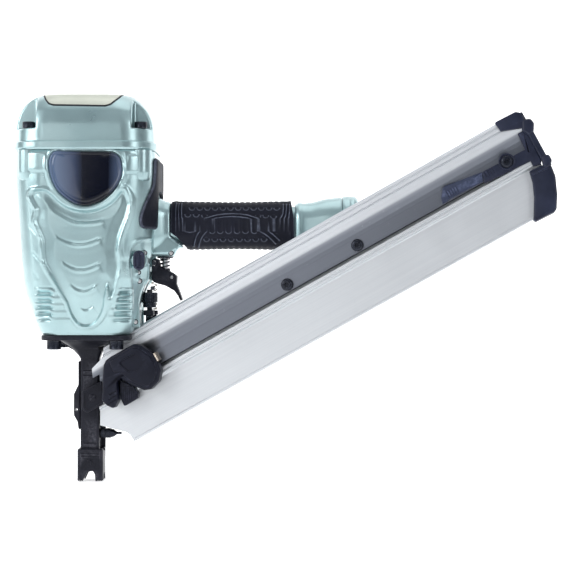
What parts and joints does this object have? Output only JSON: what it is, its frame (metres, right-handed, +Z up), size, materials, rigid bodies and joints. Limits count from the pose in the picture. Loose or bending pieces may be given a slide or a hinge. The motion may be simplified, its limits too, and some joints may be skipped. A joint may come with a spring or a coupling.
{
  "type": "pneumatic nail gun",
  "caption": "Air-driven framing nailer: round-topped barrel with long rubber-gripped handle, slim nose with spiked foot, and a long slanted strip magazine.",
  "frame": {"origin": "on the drive axis, in the plane of the contact foot's tips", "axes": "+Z up along the drive axis from the foot to the cap, +X from the drive axis toward the handle's end and the magazine's tail, -Y toward the side that carries the feeder"},
  "size_m": [0.4875, 0.1302, 0.3546],
  "materials": {
    "body_paint": "pale green metallic paint on cast alloy, semi-gloss",
    "cover_metal": "pale champagne brushed sheet",
    "blackened_steel": "blackened steel, satin",
    "black_plastic": "moulded black plastic, satin",
    "black_rubber": "textured black rubber, matte",
    "magazine_aluminium": "extruded, brushed and clear anodised",
    "plain_steel": "ground steel",
    "spring_steel": "oiled spring steel, bronze tint",
    "badge_gloss": "glossy dark navy, blank",
    "filter_felt": "felt"
  },
  "bodies": {
    "tool_body": {"cap_bolt_1": "blackened_steel", "cap_bolt_2": "blackened_steel", "cap_bolt_3": "blackened_steel", "cap_bolt_4": "blackened_steel", "cap_gasket": "black_rubber", "contact_arm_spring": "spring_steel", "cylinder_liner": "magazine_aluminium", "exhaust_cover": "cover_metal", "exhaust_cover_screw": "blackened_steel", "grip_sleeve": "black_rubber", "hanger_bolt": "blackened_steel", "head_valve_spring": "spring_steel", "housing": "body_paint", "inlet_cap": "body_paint", "inlet_filter": "filter_felt", "magazine_base_strip": "magazine_aluminium", "magazine_far_plate": "magazine_aluminium", "magazine_hanger": "blackened_steel", "magazine_lower_plate": "magazine_aluminium", "magazine_near_rail": "magazine_aluminium", "magazine_screw_1": "blackened_steel", "magazine_screw_2": "blackened_steel", "magazine_top_rail": "magazine_aluminium", "nose_bolt_1": "blackened_steel", "nose_bolt_2": "blackened_steel", "nose_bolt_3": "blackened_steel", "nose_bolt_4": "blackened_steel", "nose_casting": "blackened_steel", "nose_front_plate": "blackened_steel", "nose_side_bracket": "blackened_steel", "piston_bumper": "black_rubber", "rear_pad_far": "black_rubber", "rear_pad_near": "black_rubber", "return_air_band": "black_rubber", "side_badge_far": "badge_gloss", "side_badge_near": "badge_gloss", "tail_cap": "black_plastic", "tail_cap_screw": "blackened_steel", "top_cap": "body_paint", "trigger_pivot_pin": "plain_steel", "trigger_valve_body": "blackened_steel"},
    "piston_group": {"piston": "magazine_aluminium", "piston_o_ring": "black_rubber", "driver_blade": "plain_steel"},
    "head_valve_group": {"head_valve": "black_plastic"},
    "trigger_group": {"trigger": "blackened_steel", "trigger_arm_pin": "plain_steel"},
    "trigger_arm_lever": {"trigger_arm": "plain_steel"},
    "valve_plunger": {"trigger_valve_plunger": "plain_steel"},
    "contact_arm": {"contact_arm_rod": "blackened_steel"},
    "depth_adjuster": {"depth_dial": "blackened_steel"},
    "foot": {"contact_foot": "blackened_steel"},
    "feeder": {"feeder_block": "black_plastic", "feeder_pusher": "blackened_steel", "feeder_spring_drum": "spring_steel"},
    "feeder_release_pad": {"feeder_release": "black_plastic"},
    "stopper": {"nail_stopper": "black_plastic"},
    "selector": {"selector_knob": "black_plastic"},
    "catch": {"magazine_catch": "blackened_steel"}
  },
  "joints": [
    {"name": "drive_stroke", "type": "slide", "parent": "tool_body", "child": "piston_group", "axis": [0, 0, 1], "range_m": [-0.112, 0]},
    {"name": "head_valve_lift", "type": "slide", "parent": "tool_body", "child": "head_valve_group", "axis": [0, 0, 1], "range_m": [0, 0.006], "stiffness_N_per_m": 1500, "springref_m": -0.004, "deforming": ["head_valve_spring"]},
    {"name": "trigger_pull", "type": "hinge", "parent": "tool_body", "child": "trigger_group", "pos_m": [0.0594, 0, 0.1993], "axis": [0, -1, 0], "range_deg": [0, 12], "stiffness_Nm_per_rad": 0.6, "springref_deg": -11.46},
    {"name": "trigger_arm_swing", "type": "hinge", "parent": "trigger_group", "child": "trigger_arm_lever", "pos_m": [0.0754, 0, 0.1864], "axis": [0, 1, 0], "range_deg": [0, 5], "stiffness_Nm_per_rad": 0.05, "springref_deg": -14.32},
    {"name": "valve_plunger_press", "type": "slide", "parent": "tool_body", "child": "valve_plunger", "axis": [0, 0, 1], "range_m": [0, 0.0024]},
    {"name": "contact_arm_press", "type": "slide", "parent": "tool_body", "child": "contact_arm", "axis": [0, 0, 1], "range_m": [0, 0.008], "stiffness_N_per_m": 500, "springref_m": -0.02, "deforming": ["contact_arm_spring"]},
    {"name": "depth_dial_turn", "type": "hinge", "parent": "contact_arm", "child": "depth_adjuster", "pos_m": [0.0546, 0, 0.1656], "axis": [0, 0, 1], "range_deg": [-180, 180]},
    {"name": "depth_setting", "type": "slide", "parent": "contact_arm", "child": "foot", "axis": [0, 0, 1], "range_m": [-0.002, 0.002]},
    {"name": "feeder_travel", "type": "slide", "parent": "tool_body", "child": "feeder", "axis": [0.8656, -0.1216, 0.4857], "range_m": [0, 0.33], "stiffness_N_per_m": 15, "springref_m": -0.4},
    {"name": "feeder_release_press", "type": "hinge", "parent": "feeder", "child": "feeder_release_pad", "pos_m": [0.03199, -0.01803, 0.09124], "axis": [0.8656, -0.1216, 0.4857], "range_deg": [0, 4], "stiffness_Nm_per_rad": 0.1, "springref_deg": -11.46},
    {"name": "nail_stopper_flex", "type": "hinge", "parent": "tool_body", "child": "stopper", "pos_m": [0.35149, -0.05838, 0.27473], "axis": [-0.481, 0.0676, 0.8741], "range_deg": [0, 1.5], "stiffness_Nm_per_rad": 1, "springref_deg": -5.73},
    {"name": "selector_turn", "type": "hinge", "parent": "tool_body", "child": "selector", "pos_m": [0.0495, -0.052, 0.2012], "axis": [0, -1, 0], "range_deg": [0, 30]},
    {"name": "magazine_catch_pull", "type": "slide", "parent": "tool_body", "child": "catch", "axis": [1, 0, 0], "range_m": [0, 0.004], "stiffness_N_per_m": 800, "springref_m": -0.004}
  ],
  "couplings": [
    {"joint": "trigger_pull", "follows": "valve_plunger_press", "rad_per_m": 87.2},
    {"joint": "depth_dial_turn", "follows": "depth_setting", "rad_per_m": 1570}
  ]
}
